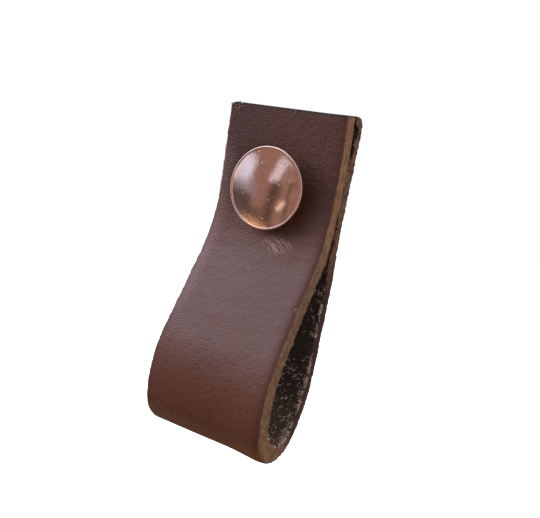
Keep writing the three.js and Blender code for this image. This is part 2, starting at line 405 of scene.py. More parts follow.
# The post stands square on the front layer: a local axis out of the leather, 0 on its grain face
post_foot = np.array([0, -GRIP, POST_HEIGHT])
post_out = np.array([0, *outward(TAB_LEAN)])
post_up = np.array([0, post_out[2], -post_out[1]])
post_side = np.array([1.0, 0, 0])
screw_drop = SCREW_HEAD_DIAMETER / 2 * abs(sin(TAB_LEAN))
screw_face = -(GRIP - SCREW_SINK - screw_drop) / cos(TAB_LEAN)
screw_seat = screw_face + SCREW_HEAD_DEPTH
barrel_end = screw_seat + SEATING
bore_bottom = screw_seat + SHANK_LENGTH + BORE_ROOM


def on_post(across, up, out):
    """Places (n, 3) from coordinates across, up and out of the leather at the post."""
    across, up, out = (np.asarray(v, float)[..., None] for v in (across, up, out))
    return post_foot + across * post_side + up * post_up + out * post_out


def turned(profile, sides):
    """Points and faces of a closed turned body. The profile runs from the axis to the axis."""
    points = [on_post(0, 0, profile[0][1])]
    angles = np.arange(sides) / sides * 2 * pi
    for radius, out in profile[1:-1]:
        points.extend(on_post(radius * np.cos(angles), radius * np.sin(angles), np.full(sides, out)))
    points.append(on_post(0, 0, profile[-1][1]))
    faces = []
    last = len(points) - 1 - sides
    for j in range(sides):
        k = (j + 1) % sides
        faces.append((0, 1 + j, 1 + k))
        for a in range(1, last, sides):
            faces.append((a + j, a + sides + j, a + sides + k, a + k))
        faces.append((last + j, last + sides, last + k))
    return np.array(points), faces


def hole_cutter():
    """Seat of the collar, hole for the barrel and recess for the screw head, in one turned body."""
    collar, barrel, recess = (diameter / 2 + SEATING for diameter in
                              (COLLAR_DIAMETER, BARREL_DIAMETER, SCREW_HEAD_DIAMETER))
    behind = -2 * GRIP
    profile = [(0, behind), (recess, behind), (recess, barrel_end), (barrel, barrel_end),
               (barrel, 0), (collar, 0), (collar, HEAD_STAND), (0, HEAD_STAND)]
    return make_object("hole_cutter", *turned(profile, HOLE_SIDES))


def cut_away(thing, tool):
    step = thing.modifiers.new("cut", "BOOLEAN")
    step.operation = "DIFFERENCE"
    step.solver = "EXACT"
    step.object = tool
    graph = bpy.context.evaluated_depsgraph_get()
    mesh = bpy.data.meshes.new_from_object(thing.evaluated_get(graph))
    thing.modifiers.clear()
    old = thing.data
    thing.data = mesh
    bpy.data.meshes.remove(old)
    bpy.data.objects.remove(tool)


strap_places, strap_flat, strap_share = make_strap_points()
strap = make_object("folded_strap", strap_places, loft_faces(len(stations), len(ring)))
cut_away(strap, hole_cutter())


def keep_flat_places(thing):
    """Gives each point its place on the flat leather, for the grain to follow the folds."""
    known = strap_places.reshape(-1, 3)
    flat = strap_flat.reshape(-1, 3)
    share = strap_share.reshape(-1)
    tree = KDTree(len(known))
    for i, place in enumerate(known):
        tree.insert(place, i)
    tree.balance()
    mesh = thing.data
    flat_out, share_out = [], []
    for vertex in mesh.vertices:
        place = vertex.co / MM
        _, i, gap = tree.find(place)
        spot, part = list(flat[i]), share[i]
        if gap > 0.01:  # on the wall of a hole
            front_depth = depth_at(place.z) + place.y
            depth = max(0, front_depth if front_depth < GRIP / 2 else -place.y)
            spot[0], spot[2], part = place.x, depth, min(1, depth / (GRIP / 2))
        flat_out.extend(spot)
        share_out.append(part)
    mesh.attributes.new("flat_place", "FLOAT_VECTOR", "POINT").data.foreach_set("vector", flat_out)
    mesh.attributes.new("depth_share", "FLOAT", "POINT").data.foreach_set("value", share_out)
    shade_smooth(mesh, 40)


keep_flat_places(strap)


# Copper head on its post

# Small dings in the face, as (across, up, radius, depth)
DINGS = [(-2.6, 6.4, 0.3, 0.03), (-1.5, 4.5, 0.28, 0.03), (0.4, 4.8, 0.25, 0.03),
         (1.4, -1.9, 0.3, 0.035), (0.4, -5.7, 0.25, 0.03), (-4.4, -1.3, 0.22, 0.02), (3.1, 1.2, 0.2, 0.02)]


def make_head():
    radius = HEAD_DIAMETER / 2
    face_radius = radius - RIM_WIDTH
    dome = (face_radius ** 2 + HEAD_CROWN ** 2) / (2 * HEAD_CROWN)
    profile = []
    for i in range(FACE_ROWS + 1):
        r = face_radius * i / FACE_ROWS
        profile.append((r, HEAD_STAND + HEAD_CROWN - dome + sqrt(dome ** 2 - r ** 2)))
    middle = radius - RIM_WIDTH / 2
    for i in range(1, RIM_ROWS + 1):
        turn = pi * (1 - i / RIM_ROWS)
        profile.append((middle + RIM_WIDTH / 2 * cos(turn), HEAD_STAND + RIM_LIFT * sin(turn)))
    under = HEAD_STAND - RIM_DEPTH
    profile += [(radius, under + RIM_BREAK), (radius - 0.03, under + 0.04),
                (radius - RIM_BREAK, under - 0.01)]
    collar, barrel, bore = COLLAR_DIAMETER / 2, BARREL_DIAMETER / 2, THREAD_BORE / 2
    for i in range(1, CONE_ROWS):
        part = i / CONE_ROWS
        r = radius - RIM_BREAK + (collar - radius + RIM_BREAK) * part
        flare = (under + (SEATING + COLLAR_LENGTH - under) * part) - 0.25 * sin(pi * part)
        profile.append((r, max(flare, SEATING + COLLAR_LENGTH - 0.1)))
    profile += [(collar, SEATING + COLLAR_LENGTH), (collar, SEATING + 0.15), (collar - 0.15, SEATING),
                (barrel, SEATING), (barrel, barrel_end + 0.1), (barrel - 0.1, barrel_end),
                (bore, barrel_end), (bore, bore_bottom), (0, bore_bottom)]
    points, faces = turned(profile, HEAD_SIDES)
    local = points - post_foot
    across, up, out = local @ post_side, local @ post_up, local @ post_out
    reach = np.hypot(across, up)
    on_face = (out > HEAD_STAND - 0.05) * 1.0
    flat = np.stack([across, up, np.zeros_like(up)], axis=-1) + 20
    wave = 0.022 * lattice_noise(flat, 4.2, 21) + 0.006 * lattice_noise(flat, 1.9, 22)
    wave *= 1 - smooth(face_radius - 1.2, face_radius, reach)
    for x, z, size, deep in DINGS:
        wave -= deep * bump_at(np.hypot(across - x, up - z), 0, size)
    rim = (reach > face_radius - 0.02) * on_face
    wave += rim * 0.012 * lattice_noise(flat, 0.9, 23)
    points = points + post_out * (on_face * wave)[:, None]
    return make_object("copper_head", points, faces, 30)


def make_screw():
    radius = SCREW_HEAD_DIAMETER / 2
    shank = THREAD_BORE / 2 - SEATING
    profile = [(0, screw_face), (radius * 0.5, screw_face), (radius - SCREW_CHAMFER, screw_face)]
    for rise, run in quarter_turn(5):
        profile.append((radius - SCREW_CHAMFER * (1 - rise), screw_face + SCREW_CHAMFER * (1 - run)))
    profile += [(radius, screw_seat - 0.05), (radius - 0.05, screw_seat), (shank, screw_seat),
                (shank, screw_seat + SHANK_LENGTH - 0.3), (shank - 0.3, screw_seat + SHANK_LENGTH),
                (0, screw_seat + SHANK_LENGTH)]
    points, faces = turned(profile, SCREW_SIDES)
    screw = make_object("back_screw_dressed", points, faces, 30)
    places = [on_post(x, z, out) for x in (-radius * 1.2, radius * 1.2)
              for z in (-SLOT_WIDTH / 2, SLOT_WIDTH / 2) for out in (screw_face - 1, screw_face + SLOT_DEPTH)]
    sides = [(0, 1, 3, 2), (4, 6, 7, 5), (0, 4, 5, 1), (2, 3, 7, 6), (0, 2, 6, 4), (1, 5, 7, 3)]
    cut_away(screw, make_object("slot_cutter", places, sides))
    shade_smooth(screw.data, 30)
    return screw


head = make_head()
screw = make_screw()


# Loose fibres along the cut edges and in the fold

def strand_mesh(name, roots, directions, strand_lengths, widths, curls):
    """Thin three-sided tapered strands, each bent to one side."""
    points, faces = [], []
    steps, taper, bend = 4, 0.7, 0.7
    for root, direction, length, width, curl in zip(roots, directions, strand_lengths, widths, curls):
        side = unit(np.cross(direction, curl))
        other = np.cross(direction, side)
        base = len(points)
        for i in range(steps):
            part = i / steps
            centre = root + direction * length * part + curl * length * bend * part * part
            radius = width * (1 - taper * part)
            for turn in (0, 2.094, 4.189):  # thirds of a turn
                points.append(centre + radius * (cos(turn) * side + sin(turn) * other))
        points.append(root + direction * length + curl * length * bend)
        tip = len(points) - 1
        faces.append((base + 2, base + 1, base))
        for a in range(base, tip, 3):
            for j, k in ((0, 1), (1, 2), (2, 0)):
                faces.append((a + j, a + k, tip) if a + 3 == tip else (a + j, a + k, a + 3 + k, a + 3 + j))
    return make_object(name, points, faces, 180)


def ring_normals():
    """Outward direction of the leather surface at each station and ring point."""
    down = np.gradient(strap_places, axis=0)
    around = (np.roll(strap_places, -1, axis=1) - np.roll(strap_places, 1, axis=1)) / 2
    normal = unit(np.cross(down, around))
    facing = np.sum(normal[:, 0, 1:] * outward(leans), axis=-1).mean()
    return normal if facing > 0 else -normal


normals = ring_normals()
height_of = strap_places[..., 2]
right_side = strap_places[..., 0] > 0
from_side = half_width - np.abs(np.tile(ring_x, (len(stations), 1)))
share_tile = np.tile(ring_share, (len(stations), 1))
in_loop = (height_of < -3) & (height_of > -36)
flesh_zone = share_tile > 0.999
back_leather = (np.arange(len(stations)) > np.argmin(stations[:, 1]))[:, None] & np.ones_like(flesh_zone)


FIBRE_LIMIT = half_width + 0.6  # strands that would reach further to a side are shortened
SINK = 0.04  # depth of a strand's root in the leather


def strands(chance, count, short, long, thin, thick, lay):
    """Strands rooted at points picked by their chance: lay 0 stands them up, 1 lays them flat."""
    weight = chance.astype(float).ravel()
    weight /= weight.sum()
    picks = rng.choice(weight.size, count, p=weight)
    roots = strap_places.reshape(-1, 3)[picks]
    up = normals.reshape(-1, 3)[picks]
    loose = rng.normal(size=roots.shape)
    loose = unit(loose - up * np.sum(loose * up, axis=1, keepdims=True))
    direction = unit(up * (1 - lay) + loose * lay)
    curl = rng.normal(size=roots.shape) * 0.5
    size = short + (long - short) * rng.random(count) ** 2
    width = thin + (thick - thin) * rng.random(count)
    from_middle = np.abs(roots[:, 0])
    reach = np.abs(roots[:, 0] + (direction + curl * 0.7)[:, 0] * size) - from_middle
    size = size * np.clip((FIBRE_LIMIT - from_middle) / np.maximum(reach, 0.01), 0.2, 1)
    return roots - up * SINK, direction, size, width, curl


def make_fibres(name, rows):
    parts = [strands(*row) for row in rows]
    return strand_mesh(name, *(np.concatenate(columns) for columns in zip(*parts)))


def clumps(size, seed, low):
    """Weights for picking points: nothing over most of the leather, high in clumps about one size across."""
    lumps = lattice_noise(strap_flat.reshape(-1, 3), size, seed).reshape(right_side.shape)
    return smooth(low, 1, lumps) + 0.002


def near_spot(across, down, reach):
    """Weights round one place on the grain side."""
    gap = (strap_flat[..., 0] - across) ** 2 + (strap_flat[..., 1] - down) ** 2
    return np.exp(-gap / reach ** 2) * (strap_flat[..., 2] < 0.4)


inner_edge = flesh_zone & (from_side < 1.3)
loop_flesh = flesh_zone & in_loop
back_edge = inner_edge & in_loop & back_leather
cut_edge = from_side < 0.3
left_corner = (share_tile > 0) & (from_side < 0.1) & ~right_side
narrow_start = inner_edge & (height_of > -6) & (height_of < 7) & right_side

# Fibres as (weights, count, shortest, longest, thinnest, thickest, lay)
pale_fibres = make_fibres("pale_fibres", [
    (back_edge * clumps(0.8, 31, 0.05) * right_side * (height_of < -6), 1300, 0.2, 0.7, 0.035, 0.09, 0.72),
    (back_edge, 260, 0.2, 0.7, 0.02, 0.05, 0.6),
    (inner_edge & in_loop & ~back_leather, 300, 0.15, 0.6, 0.02, 0.05, 0.6),
    (loop_flesh * (height_of < -22) * clumps(0.6, 32, 0), 2000, 0.2, 0.6, 0.06, 0.15, 0.8),
    (loop_flesh * clumps(0.7, 33, 0.1), 1800, 0.2, 0.6, 0.05, 0.12, 0.82),
    (cut_edge & (share_tile > 0.5) & (height_of > 0), 220, 0.1, 0.35, 0.02, 0.045, 0.6),
    (left_corner & (share_tile < 0.5), 170, 0.08, 0.24, 0.02, 0.04, 0.5),
    (near_spot(-10.9, 0.1, 1.2), 60, 0.2, 0.55, 0.03, 0.06, 0.55),
    (near_spot(2.2, 0, 0.25), 8, 0.3, 0.6, 0.03, 0.05, 0.3),
    (near_spot(12.2, 36.1, 0.35), 14, 0.2, 0.45, 0.035, 0.055, 0.45),
    (near_spot(11.8, 9.8, 0.12), 4, 0.12, 0.3, 0.03, 0.05, 0.8),
])
dark_fibres = make_fibres("dark_fibres", [
    (loop_flesh, 1300, 0.2, 0.9, 0.025, 0.06, 0.65),
    (cut_edge & (share_tile > 0.2), 420, 0.08, 0.3, 0.015, 0.035, 0.5),
    (narrow_start, 420, 0.3, 0.9, 0.03, 0.06, 0.5),
    (left_corner & (share_tile < 0.4), 160, 0.08, 0.3, 0.02, 0.04, 0.4),
    (near_spot(-10.9, 0.1, 1.4), 40, 0.2, 0.5, 0.03, 0.05, 0.55),
])


# Materials

class Nodes:
    """The nodes of one material, group or world, each made by what it does."""

    def __init__(self, tree):
        self.tree = tree

    def fill(self, node, inputs):
        """Links sockets to the inputs of a node, and sets plain values on them."""
        for name, value in inputs.items():
            if isinstance(value, bpy.types.NodeSocket):
                self.tree.links.new(value, node.inputs[name])
            else:
                node.inputs[name].default_value = value
        return node.outputs

    def add(self, kind, inputs=None, **settings):
        node = self.tree.nodes.new("ShaderNode" + kind)
        for name, value in settings.items():
            setattr(node, name, value)
        return self.fill(node, inputs or {})

    def group(self, tree, inputs):
        return self.add("Group", inputs, node_tree=tree)

    def effect(self, tree, place, size, **inputs):
        return self.group(tree, {"Place": place, "Size": size, **inputs})

    def maths(self, operation, first, second=0):
        return self.add("Math", {0: first, 1: second}, operation=operation)[0]

    def plus(self, first, second):
        return self.maths("ADD", first, second)

    def minus(self, first, second):
        return self.maths("SUBTRACT", first, second)

    def times(self, first, second):
        return self.maths("MULTIPLY", first, second)

    def vector(self, operation, first, second):
        return self.add("VectorMath", {0: first, 1: second}, operation=operation)

    def stretch(self, place, factors):
        return self.vector("MULTIPLY", place, factors)[0]

    def turn(self, place, angle):
        return self.add("VectorRotate", {"Vector": place, "Angle": angle}, rotation_type="Z_AXIS")[0]

    def values(self, factor, first, second):
        return self.add("Mix", {0: factor, 2: first, 3: second}, data_type="FLOAT")[0]

    def colours(self, factor, first, second, way="MIX"):
        return self.add("Mix", {0: factor, 6: first, 7: second}, data_type="RGBA", blend_type=way)[2]

    def layers(self, colour, layers):
        """A colour with others laid over it, each as (mask, strength, colour)."""
        for mask, strength, over in layers:
            colour = self.colours(self.times(mask, strength), colour, over)
        return colour

    def ease(self, value, low, high, to_low=0, to_high=1):
        return self.add("MapRange", {0: value, 1: low, 2: high, 3: to_low, 4: to_high},
                        interpolation_type="SMOOTHSTEP")[0]

    def zone(self, value, start, full, fade, end):
        """One from full to fade, easing to nothing at the start and the end."""
        return self.times(self.ease(value, start, full), self.ease(value, end, fade))

    def noise(self, place, scale, detail=3, roughness=0.55, distortion=0):
        return self.add("TexNoise", {"Vector": place, "Scale": scale, "Detail": detail,
                                     "Roughness": roughness, "Distortion": distortion})[0]

    def bump(self, height, distance=MM):
        return self.add("Bump", {"Height": height, "Distance": distance, "Strength": 1})[0]

    def millimetres(self):
        """The place on the piece in millimetres."""
        return self.stretch(self.add("TexCoord")["Object"], (1 / MM,) * 3)


VALUE, VECTOR = "NodeSocketFloat", "NodeSocketVector"


def new_group(name, takes, gives):
    """A node group with inputs as (label, kind, value) and outputs as labels."""
    tree = bpy.data.node_groups.new(name, "ShaderNodeTree")
    for label, kind, value in takes:
        socket = tree.interface.new_socket(name=label, in_out="INPUT", socket_type=kind)
        if value is not None:
            socket.default_value = value
    for label in gives:
        tree.interface.new_socket(name=label, in_out="OUTPUT", socket_type=VALUE)
    return Nodes(tree), tree.nodes.new("NodeGroupInput").outputs, tree.nodes.new("NodeGroupOutput")


def new_effect(name, size, more_takes, gives):
    """A node group for a pattern of some size, with its place already divided by the size."""
    takes = [("Place", VECTOR, None), ("Size", VALUE, size)] + more_takes
    nodes, takes, gives = new_group(name, takes, gives)
    return nodes, nodes.vector("DIVIDE", takes["Place"], takes["Size"])[0], takes, gives


def make_mottle():
    """Slow uneven shade, from 0 to 1."""
    nodes, place, takes, gives = new_effect("uneven_shade", 5, [("Contrast", VALUE, 1)], ["Shade"])
    wide = nodes.minus(nodes.noise(place, 1, 4, 0.6, 0.4), 0.5)
    shade = nodes.add("Math", {0: wide, 1: takes["Contrast"], 2: 0.5}, operation="MULTIPLY_ADD")[0]
    nodes.fill(gives, {"Shade": nodes.maths("MINIMUM", nodes.maths("MAXIMUM", shade, 0), 1)})
    return nodes.tree


def make_pebble():
    """Fine grain of the hide: rounded pebbles, creases between them, and pores."""
    nodes, place, takes, gives = new_effect("hide_grain", 0.3, [], ["Height", "Pores"])
    warp = nodes.add("TexNoise", {"Vector": place, "Scale": 0.6, "Detail": 2})[1]
    warped = nodes.add("VectorMath", {0: warp, 1: (0.9, 0.9, 0.9), 2: place}, operation="MULTIPLY_ADD")[0]
    cells = nodes.add("TexVoronoi", {"Vector": warped, "Scale": 1}, feature="SMOOTH_F1")[0]
    creases = nodes.ease(cells, 0.15, 0.75, 1, 0)
    fine = nodes.noise(place, 2.3, 3, 0.6)
    height = nodes.plus(nodes.times(creases, 0.7), nodes.times(fine, 0.5))
    dots = nodes.add("TexVoronoi", {"Vector": place, "Scale": 0.7}, feature="F1")[0]
    pores = nodes.ease(dots, 0.05, 0.2, 1, 0)
    nodes.fill(gives, {"Height": nodes.minus(height, nodes.times(pores, 0.5)), "Pores": pores})
    return nodes.tree


def make_fibrous():
    """Matted fibres: a rough height and a mask of the strands that catch the light."""
    amount = ("Amount", VALUE, 0.5)
    nodes, place, takes, gives = new_effect("matted_fibres", 0.5, [amount], ["Height", "Strands"])
    lumps = nodes.noise(place, 0.8, 5, 0.65, 0.8)
    lying, crossing = (nodes.noise(nodes.stretch(place, factors), 1.6, 5, 0.7, 1.6)
                       for factors in ((2.2, 0.8, 1.6), (0.8, 2.4, 1.2)))
    finest = nodes.maths("MAXIMUM", lying, crossing)
    low = nodes.minus(0.86, nodes.times(takes["Amount"], 0.3))
    strands_seen = nodes.add("MapRange", {0: finest, 1: low, 2: nodes.plus(low, 0.1)})[0]
    nodes.fill(gives, {"Height": nodes.plus(lumps, nodes.times(finest, 0.7)), "Strands": strands_seen})
    return nodes.tree


def make_hairlines():
    """Fine scratches from handling, in two directions."""
    nodes, place, takes, gives = new_effect("fine_scratches", 1, [("Amount", VALUE, 0.5)], ["Scratches"])
    masks = []
    for factors in ((9, 0.5, 9), (4, 6, 0.6)):
        turned_place = nodes.turn(place, 0.5 * factors[0])
        lines = nodes.noise(nodes.stretch(turned_place, factors), 1, 3, 0.6, 0.3)
        masks.append(nodes.ease(lines, 0.64, 0.7))
    nodes.fill(gives, {"Scratches": nodes.times(nodes.maths("MAXIMUM", *masks), takes["Amount"])})
    return nodes.tree


uneven_shade = make_mottle()
hide_grain = make_pebble()
matted_fibres = make_fibrous()
fine_scratches = make_hairlines()


def rgb(red, green, blue):
    """A colour given as it looks on a screen, 0 to 255."""
    def linear(value):
        value /= 255
        return value / 12.92 if value <= 0.04045 else ((value + 0.055) / 1.055) ** 2.4
    return (linear(red), linear(green), linear(blue), 1)


def new_material(name, **settings):
    material = bpy.data.materials.new(name)
    material.use_nodes = True
    shader = material.node_tree.nodes["Principled BSDF"]
    for label, value in settings.items():
        shader.inputs[label.replace("_", " ")].default_value = value
    return material, Nodes(material.node_tree), shader


# The scuffs' place on the strap, the size of their patch, and their lean
SCUFF_ACROSS = 3.2
SCUFF_DOWN = 24.9
SCUFF_HALF_WIDTH = 3.8
SCUFF_HALF_HEIGHT = 2.3
SCUFF_LEAN = radians(-38)


def make_scuffs(nodes, across, down, flat):
    """Fine light scratches that fan out below the right half of the head."""
    right = nodes.maths("DIVIDE", nodes.minus(across, SCUFF_ACROSS), SCUFF_HALF_WIDTH)
    below = nodes.maths("DIVIDE", nodes.minus(down, SCUFF_DOWN), SCUFF_HALF_HEIGHT)
    patch = nodes.ease(nodes.plus(nodes.times(right, right), nodes.times(below, below)), 0.1, 1, 1, 0)
    lines = nodes.noise(nodes.stretch(nodes.turn(flat, SCUFF_LEAN), (0.35, 3.6, 1)), 1, 4, 0.65, 0.5)
    return nodes.times(nodes.ease(lines, 0.47, 0.62), patch)


def make_leather():
    """Places are millimetres on the flat leather: across, down from the front end, and into its depth."""
    material, nodes, shader = new_material("brown_leather", Specular_IOR_Level=0.5)
    flat = nodes.add("Attribute", attribute_name="flat_place")["Vector"]
    share = nodes.add("Attribute", attribute_name="depth_share")["Fac"]
    across, down, depth = nodes.add("SeparateXYZ", {0: flat})
    from_middle = nodes.maths("ABSOLUTE", across)
    ease, times, zone, noise, values = nodes.ease, nodes.times, nodes.zone, nodes.noise, nodes.values
    minus, plus, colours, effect = nodes.minus, nodes.plus, nodes.colours, nodes.effect

    wide_shade = effect(uneven_shade, flat, 9, Contrast=1.6)["Shade"]
    close_shade = effect(uneven_shade, flat, 1.6, Contrast=1.4)["Shade"]
    grain = effect(hide_grain, flat, 0.3)

    # Grain side, darker and redder along its rounded edges and at the cut end
    fine = ease(noise(flat, 2.7, 3, 0.7), 0.42, 0.6)
    dark_specks = ease(noise(flat, 3.4, 3, 0.7), 0.4, 0.5, 1, 0)
    edge_specks = ease(noise(flat, 2.4, 3, 0.7), 0.5, 0.6)
    painted_upper_left_shade = times(ease(across, 0, -7), ease(down, 18, 8))
    red_fold = times(ease(down, 42, 60), ease(across, 3, 10, 1, 0.45))
    near_edge = ease(from_middle, 11.2, 12.3)
    painted_left_sheen = times(ease(across, -9, -12), zone(down, 5, 11, 36, 48))
    left_edge = times(ease(across, -12, -12.5), ease(down, 70, 60))
    scuffs = make_scuffs(nodes, across, down, flat)
    grain_colour = nodes.layers(colours(wide_shade, rgb(75, 38, 23), rgb(89, 47, 31)), [
        (close_shade, 0.4, rgb(101, 58, 41)),
        (fine, 0.34, rgb(118, 78, 62)),
        (dark_specks, 0.4, rgb(38, 18, 14)),
        (ease(down, 25, 13), 0.4, rgb(42, 12, 5)),  # the part above the head
        # painted shade: the left part of the tab, near its cut end, is darker
        (painted_upper_left_shade, 0.3, rgb(24, 10, 6)),
        (red_fold, 0.52, rgb(72, 20, 0)),
        (grain["Pores"], 0.5, rgb(46, 24, 18)),
        # along both rounded edges: the leather's darker edge colour and painted shade of the rounded corner
        (near_edge, 0.8, rgb(76, 34, 18)),
        # painted sheen: a lighter reflection along the left edge beside and below the head
        (painted_left_sheen, 0.2, rgb(150, 124, 120)),
        (times(left_edge, edge_specks), 0.6, rgb(112, 92, 86)),
        (zone(down, 60, 66, 71, 78), 0.55, rgb(158, 108, 76)),  # painted light: a lighter rim along the lower outline of the fold
        (scuffs, 0.7, rgb(172, 148, 148)),
        (ease(down, 0.55, 0.15), 0.8, rgb(34, 22, 16)),  # the cut end
    ])

    # Cut edge, darker at the back layer
    back_layer = ease(down, 70, 80)
    uneven_depth = plus(depth, times(minus(close_shade, 0.5), 0.22))
    grain_depth = values(back_layer, 0.1, 0.8)
    cut = ease(minus(uneven_depth, grain_depth), 0, 0.2)
    along_fibres = nodes.stretch(flat, (1, 0.55, 1))
    fibres = effect(matted_fibres, along_fibres, 0.7, Amount=0.68)
    blotches = ease(noise(along_fibres, 1.1, 4, 0.65, 0.5), 0.36, 0.64)
    shaded_part = times(ease(down, 16, 34), ease(down, 44, 56, 1, 0.75))
    low_back = colours(blotches, rgb(48, 26, 18), rgb(100, 64, 44))
    high_back = colours(blotches, rgb(92, 62, 38), rgb(140, 104, 74))
    back_colour = colours(ease(down, 106, 116), low_back, high_back)
    speckle = times(ease(noise(flat, 1.5, 4, 0.75), 0.5, 0.6), values(back_layer, 0.3, 0.6))
    cut_colour = nodes.layers(colours(blotches, rgb(131, 96, 65), rgb(163, 125, 93)), [
        (shaded_part, 0.29, rgb(34, 20, 12)),
        (back_layer, 1, back_colour),
        (fibres["Strands"], 0.5, rgb(186, 150, 120)),
        (speckle, 1, rgb(52, 30, 20)),
    ])

    # Flesh side, which frays into the cut edge along the back of the loop
    matted = effect(matted_fibres, flat, 0.9, Amount=0.66)
    loop_back = zone(down, 72, 80, 104, 111)
    ragged = times(minus(noise(flat, 0.9, 4, 0.7), 0.5), values(loop_back, 0.05, 0.7))
    flesh_share = values(loop_back, 0.96, 0.5)
    flesh = ease(minus(plus(share, ragged), flesh_share), 0, 0.035)
    flesh_colour = nodes.layers(colours(wide_shade, rgb(32, 30, 29), rgb(62, 44, 32)), [
        (zone(down, 56, 64, 78, 88), 0.6, rgb(104, 78, 54)),  # inside the fold
        (ease(from_middle, 12.3, 12.6), 0.8, rgb(66, 38, 27)),
        (matted["Strands"], 0.9, rgb(176, 152, 132)),
    ])
    colour = nodes.layers(grain_colour, [(cut, 1, cut_colour), (flesh, 1, flesh_colour)])

    rough = plus(values(close_shade, 0.36, 0.5), times(fine, 0.1))
    for mask, value in ((near_edge, 0.6), (scuffs, 0.78), (cut, 0.85), (flesh, 0.95)):
        rough = values(mask, rough, value)

    # Height in millimetres, with folds pressed in round the head
    folds = noise(nodes.stretch(flat, (0.3, 2, 1)), 1, 4, 0.6, 0.6)
    round_head = ease(nodes.maths("ABSOLUTE", minus(down, 13)), 6, 12, 1, 0)
    height = plus(times(grain["Height"], 0.052), times(times(folds, round_head), 0.1))
    height = plus(height, times(noise(flat, 0.6, 2, 0.55), 0.12))
    height = values(cut, height, times(fibres["Height"], 0.2))
    height = values(flesh, height, times(matted["Height"], 0.28))
    nodes.fill(shader, {"Base Color": colour, "Roughness": rough, "Normal": nodes.bump(height)})
    return material


def make_fibre_finish(name, low, high, rough):
    material, nodes, shader = new_material(name, Specular_IOR_Level=0.2)
    place = nodes.millimetres()
    shade = nodes.effect(uneven_shade, place, 0.8, Contrast=2.4)["Shade"]
    matted = nodes.effect(matted_fibres, place, 0.2, Amount=0.5)
    nodes.fill(shader, {"Base Color": nodes.colours(shade, low, high),
                        "Roughness": nodes.values(shade, rough, rough + 0.1),
                        "Normal": nodes.bump(matted["Height"], 0.03 * MM)})
    return material


def slot_mask(nodes, place):
    """One on the floor and walls of the slot of the back screw."""
    from_foot = nodes.vector("ADD", place, tuple(-post_foot))[0]
    up, out = (nodes.vector("DOT_PRODUCT", from_foot, tuple(axis))["Value"] for axis in (post_up, post_out))
    half = SLOT_WIDTH / 2
    near = nodes.ease(nodes.maths("ABSOLUTE", up), half + 0.06, half + 0.01)
    return nodes.times(near, nodes.ease(out, screw_face + 0.03, screw_face + 0.25))


def make_copper(name, base, deep, rough, scratch, wave, slotted=False):
    material, nodes, shader = new_material(name, Metallic=1)
    place = nodes.millimetres()
    shade = nodes.effect(uneven_shade, place, 3, Contrast=1.8)["Shade"]
    marks = nodes.effect(fine_scratches, place, 1.6, Amount=scratch)["Scratches"]
    haze = nodes.effect(uneven_shade, place, 0.9, Contrast=2.2)["Shade"]
    bounced = nodes.add("LightPath")["Is Diffuse Ray"]  # the light that the copper throws on the leather
    colour = nodes.layers(nodes.colours(shade, base, deep), [(bounced, 0.9, rgb(112, 44, 26))])
    roughness = nodes.values(haze, rough, rough + 0.05)
    if slotted:
        in_slot = slot_mask(nodes, place)
        # painted shade: the floor and walls of the slot are darkened
        colour = nodes.layers(colour, [(in_slot, 0.85, rgb(74, 44, 32))])
        roughness = nodes.values(in_slot, roughness, 0.6)
    height = nodes.plus(nodes.times(haze, wave), nodes.times(marks, -0.004))
    nodes.fill(shader, {"Base Color": colour, "Roughness": nodes.plus(roughness, nodes.times(marks, 0.12)),
                        "Normal": nodes.bump(height)})
    return material


def put_on(piece, material):
    piece.data.materials.clear()
    piece.data.materials.append(material)


polished = rgb(240, 198, 182), rgb(228, 176, 154)
turned_finish = rgb(196, 132, 104), rgb(170, 108, 84)
put_on(strap, make_leather())
put_on(pale_fibres, make_fibre_finish("pale_fibre", rgb(140, 104, 80), rgb(250, 226, 206), 0.8))
put_on(dark_fibres, make_fibre_finish("dark_fibre", rgb(40, 28, 22), rgb(96, 72, 54), 0.85))
put_on(head, make_copper("polished_copper", *polished, rough=0.05, scratch=0.6, wave=0.0045))
put_on(screw, make_copper("turned_copper", *turned_finish, rough=0.24, scratch=0.9, wave=0.004, slotted=True))


# Camera at the photograph's viewing angle: distance, side and rise in millimetres, focal length in pixels
VIEW_YAW = radians(29.615)
VIEW_PITCH = radians(6.231)
VIEW_ROLL = radians(10.358)
VIEW_DISTANCE = 129.777
VIEW_SIDE = 3.809
VIEW_RISE = 13.349
FOCAL_PIXELS = 657.17
IMAGE_WIDTH = 540
SENSOR = 36  # width of the camera's sensor, in millimetres


def make_camera():
    back = np.array([sin(VIEW_YAW) * cos(VIEW_PITCH), -cos(VIEW_YAW) * cos(VIEW_PITCH),
                     sin(VIEW_PITCH)])
    right = np.array([cos(VIEW_YAW), sin(VIEW_YAW), 0])
    up = np.cross(back, right)
    right, up = (cos(VIEW_ROLL) * right + sin(VIEW_ROLL) * up,
                 cos(VIEW_ROLL) * up - sin(VIEW_ROLL) * right)
    spot = np.array([0, 0, POST_HEIGHT]) - VIEW_SIDE * right - VIEW_RISE * up + VIEW_DISTANCE * back
    data = bpy.data.cameras.new("photo_view")
    data.sensor_fit = "HORIZONTAL"
    data.sensor_width = SENSOR
    data.lens = FOCAL_PIXELS / IMAGE_WIDTH * SENSOR
    data.clip_start = 0.001
    data.clip_end = 20
    camera = bpy.data.objects.new("photo_view", data)
    turn = Matrix(np.stack([right, up, back], axis=1).tolist()).to_4x4()
    camera.matrix_world = Matrix.Translation(Vector(spot * MM)) @ turn
    scene.collection.objects.link(camera)
    scene.camera = camera


make_camera()


# Soft studio light. The room that the copper and the leather's sheen mirror is made in the world.

def heading(yaw, pitch):
    """Direction from the pull into the room: yaw to the right, pitch upwards, in degrees."""
    yaw, pitch = radians(yaw), radians(pitch)
    return Vector((sin(yaw) * cos(pitch), -cos(yaw) * cos(pitch), sin(pitch)))


